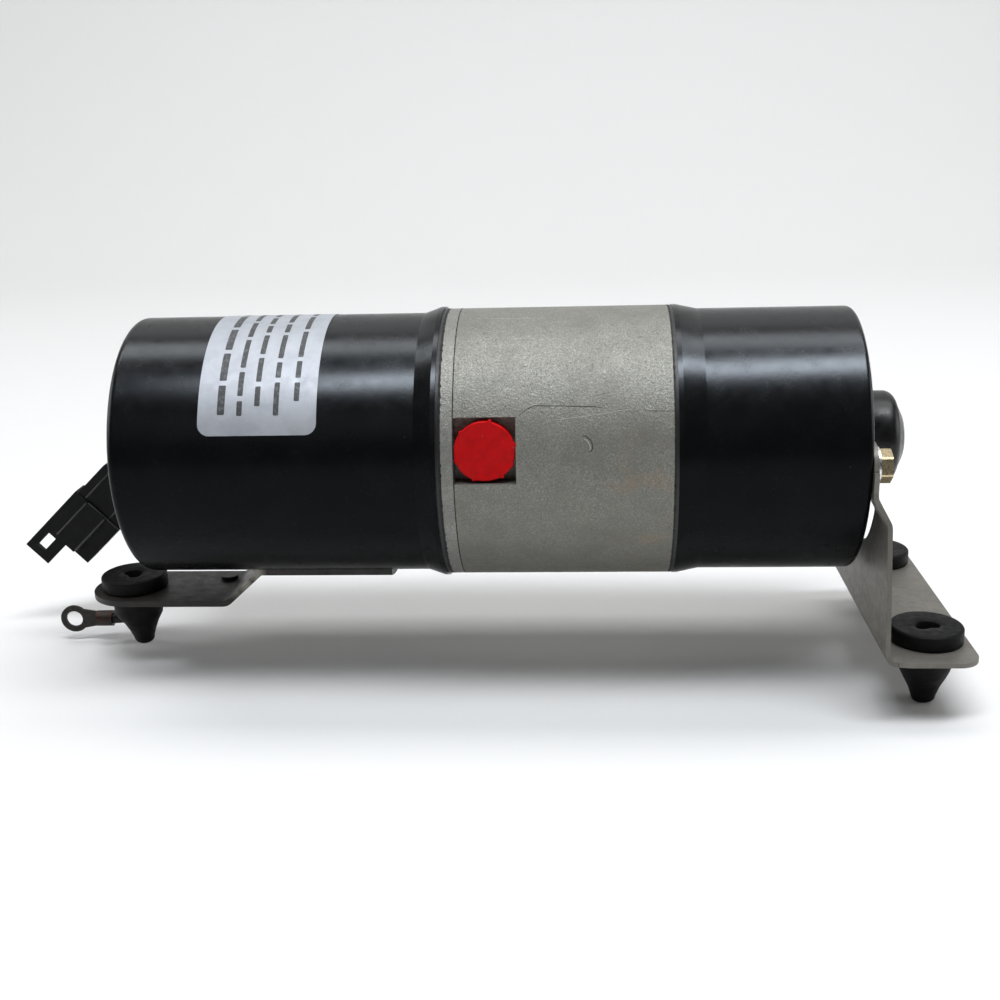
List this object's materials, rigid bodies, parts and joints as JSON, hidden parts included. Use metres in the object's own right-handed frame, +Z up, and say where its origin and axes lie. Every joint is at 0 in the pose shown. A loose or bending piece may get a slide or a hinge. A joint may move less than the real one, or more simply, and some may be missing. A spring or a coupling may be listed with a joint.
{
  "type": "hydraulic power unit",
  "caption": "Electro-hydraulic power unit: motor can, cast pump body and fluid reservoir on one axis, on brackets with rubber push-in mounts.",
  "frame": {"origin": "under the middle of the unit without its leads, on the plane that the tips of the two rubber mounts at the reservoir stand on", "axes": "+X along the unit's axis from motor to reservoir, +Z up, -Y towards the side with the front port"},
  "size_m": [0.3311, 0.11, 0.1232],
  "materials": {
    "black_paint": "satin black enamel",
    "black_strap": "thin black paint over steel, dulled",
    "cast_aluminium": "die-cast, satin",
    "plate_aluminium": "die-cast, satin",
    "grey_steel": "dull zinc plate",
    "yellow_zinc": "yellow zinc plate",
    "bright_zinc": "bright zinc plate",
    "steel": "ground steel",
    "lamination": "varnished lamination steel",
    "sintered_steel": "sintered and ground",
    "copper": "enamelled copper wire",
    "brass": "stamped brass",
    "bronze": "sintered bronze",
    "carbon": "pressed carbon",
    "fibre": "hard paper laminate",
    "rubber": "moulded rubber",
    "gasket": "flat rubber",
    "red_cap": "soft red plastic",
    "black_nylon": "moulded nylon",
    "lead_cover": "wire cover",
    "tinned_brass": "tarnished tinned brass",
    "mesh": "fine wire mesh",
    "label_foil": "silver label foil with plain bars in place of its print"
  },
  "bodies": {
    "unit": {"motor_can": "black_paint", "label": "label_foil", "motor_through_bolts": "bright_zinc", "lead_grommet": "rubber", "field_core": "lamination", "field_coil_front": "copper", "field_coil_rear": "copper", "brush_plate": "fibre", "brush_holder_front": "brass", "brush_holder_rear": "brass", "brush_front": "carbon", "brush_rear": "carbon", "brush_spring_front": "steel", "brush_spring_rear": "steel", "rear_bearing": "bronze", "front_bearing": "bronze", "thrust_washers": "steel", "adapter_plate": "plate_aluminium", "motor_gasket": "gasket", "pump_body": "cast_aluminium", "shaft_seal": "rubber", "piston_plugs": "steel", "rotor_cover": "steel", "cover_screws": "steel", "inlet_filters": "mesh", "reservoir_gasket": "gasket", "reservoir": "black_paint", "reservoir_bracket": "grey_steel", "washers": "bright_zinc", "reservoir_bolts": "yellow_zinc", "motor_bracket": "black_strap", "rubber_mount_front": "rubber", "rubber_mount_rear": "rubber", "rubber_mount_motor": "rubber", "connector_housing": "black_nylon", "connector_terminals": "brass", "power_lead_upper": "lead_cover", "power_lead_lower": "lead_cover", "earth_lead": "lead_cover", "earth_eye": "tinned_brass", "earth_tab": "tinned_brass", "earth_rivet": "black_strap"},
    "armature": {"armature_shaft": "steel", "armature_core": "lamination", "armature_winding": "copper", "commutator": "copper", "commutator_sleeve": "fibre", "inner_rotor": "sintered_steel", "drive_pin": "steel"},
    "outer_rotor": {"outer_rotor": "sintered_steel"},
    "control_piston": {"control_piston": "steel"},
    "check_ball_front": {"check_ball_front": "steel"},
    "check_ball_rear": {"check_ball_rear": "steel"},
    "filler_plug": {"filler_plug": "rubber"},
    "port_cap_front": {"port_cap_front": "red_cap"},
    "port_cap_rear": {"port_cap_rear": "red_cap"}
  },
  "joints": [
    {"name": "motor_spin", "type": "hinge", "parent": "unit", "child": "armature", "pos_m": [-0.0372, 0, 0.0781], "axis": [1, 0, 0], "continuous": true},
    {"name": "outer_rotor_spin", "type": "hinge", "parent": "unit", "child": "outer_rotor", "pos_m": [0.0338, 0, 0.0796], "axis": [1, 0, 0], "continuous": true},
    {"name": "control_piston_slide", "type": "slide", "parent": "unit", "child": "control_piston", "axis": [0, 1, 0], "range_m": [-0.0035, 0.0035]},
    {"name": "check_ball_front_lift", "type": "slide", "parent": "unit", "child": "check_ball_front", "axis": [-1, 0, 0], "range_m": [0, 0.0022]},
    {"name": "check_ball_rear_lift", "type": "slide", "parent": "unit", "child": "check_ball_rear", "axis": [-1, 0, 0], "range_m": [0, 0.0022]},
    {"name": "filler_plug_pull", "type": "slide", "parent": "unit", "child": "filler_plug", "axis": [1, 0, 0], "range_m": [0, 0.04]},
    {"name": "port_cap_front_pull", "type": "slide", "parent": "unit", "child": "port_cap_front", "axis": [0, -1, 0], "range_m": [0, 0.04]},
    {"name": "port_cap_rear_pull", "type": "slide", "parent": "unit", "child": "port_cap_rear", "axis": [0, 1, 0], "range_m": [0, 0.04]}
  ],
  "couplings": [
    {"joint": "outer_rotor_spin", "follows": "motor_spin", "ratio": 0.85714}
  ]
}
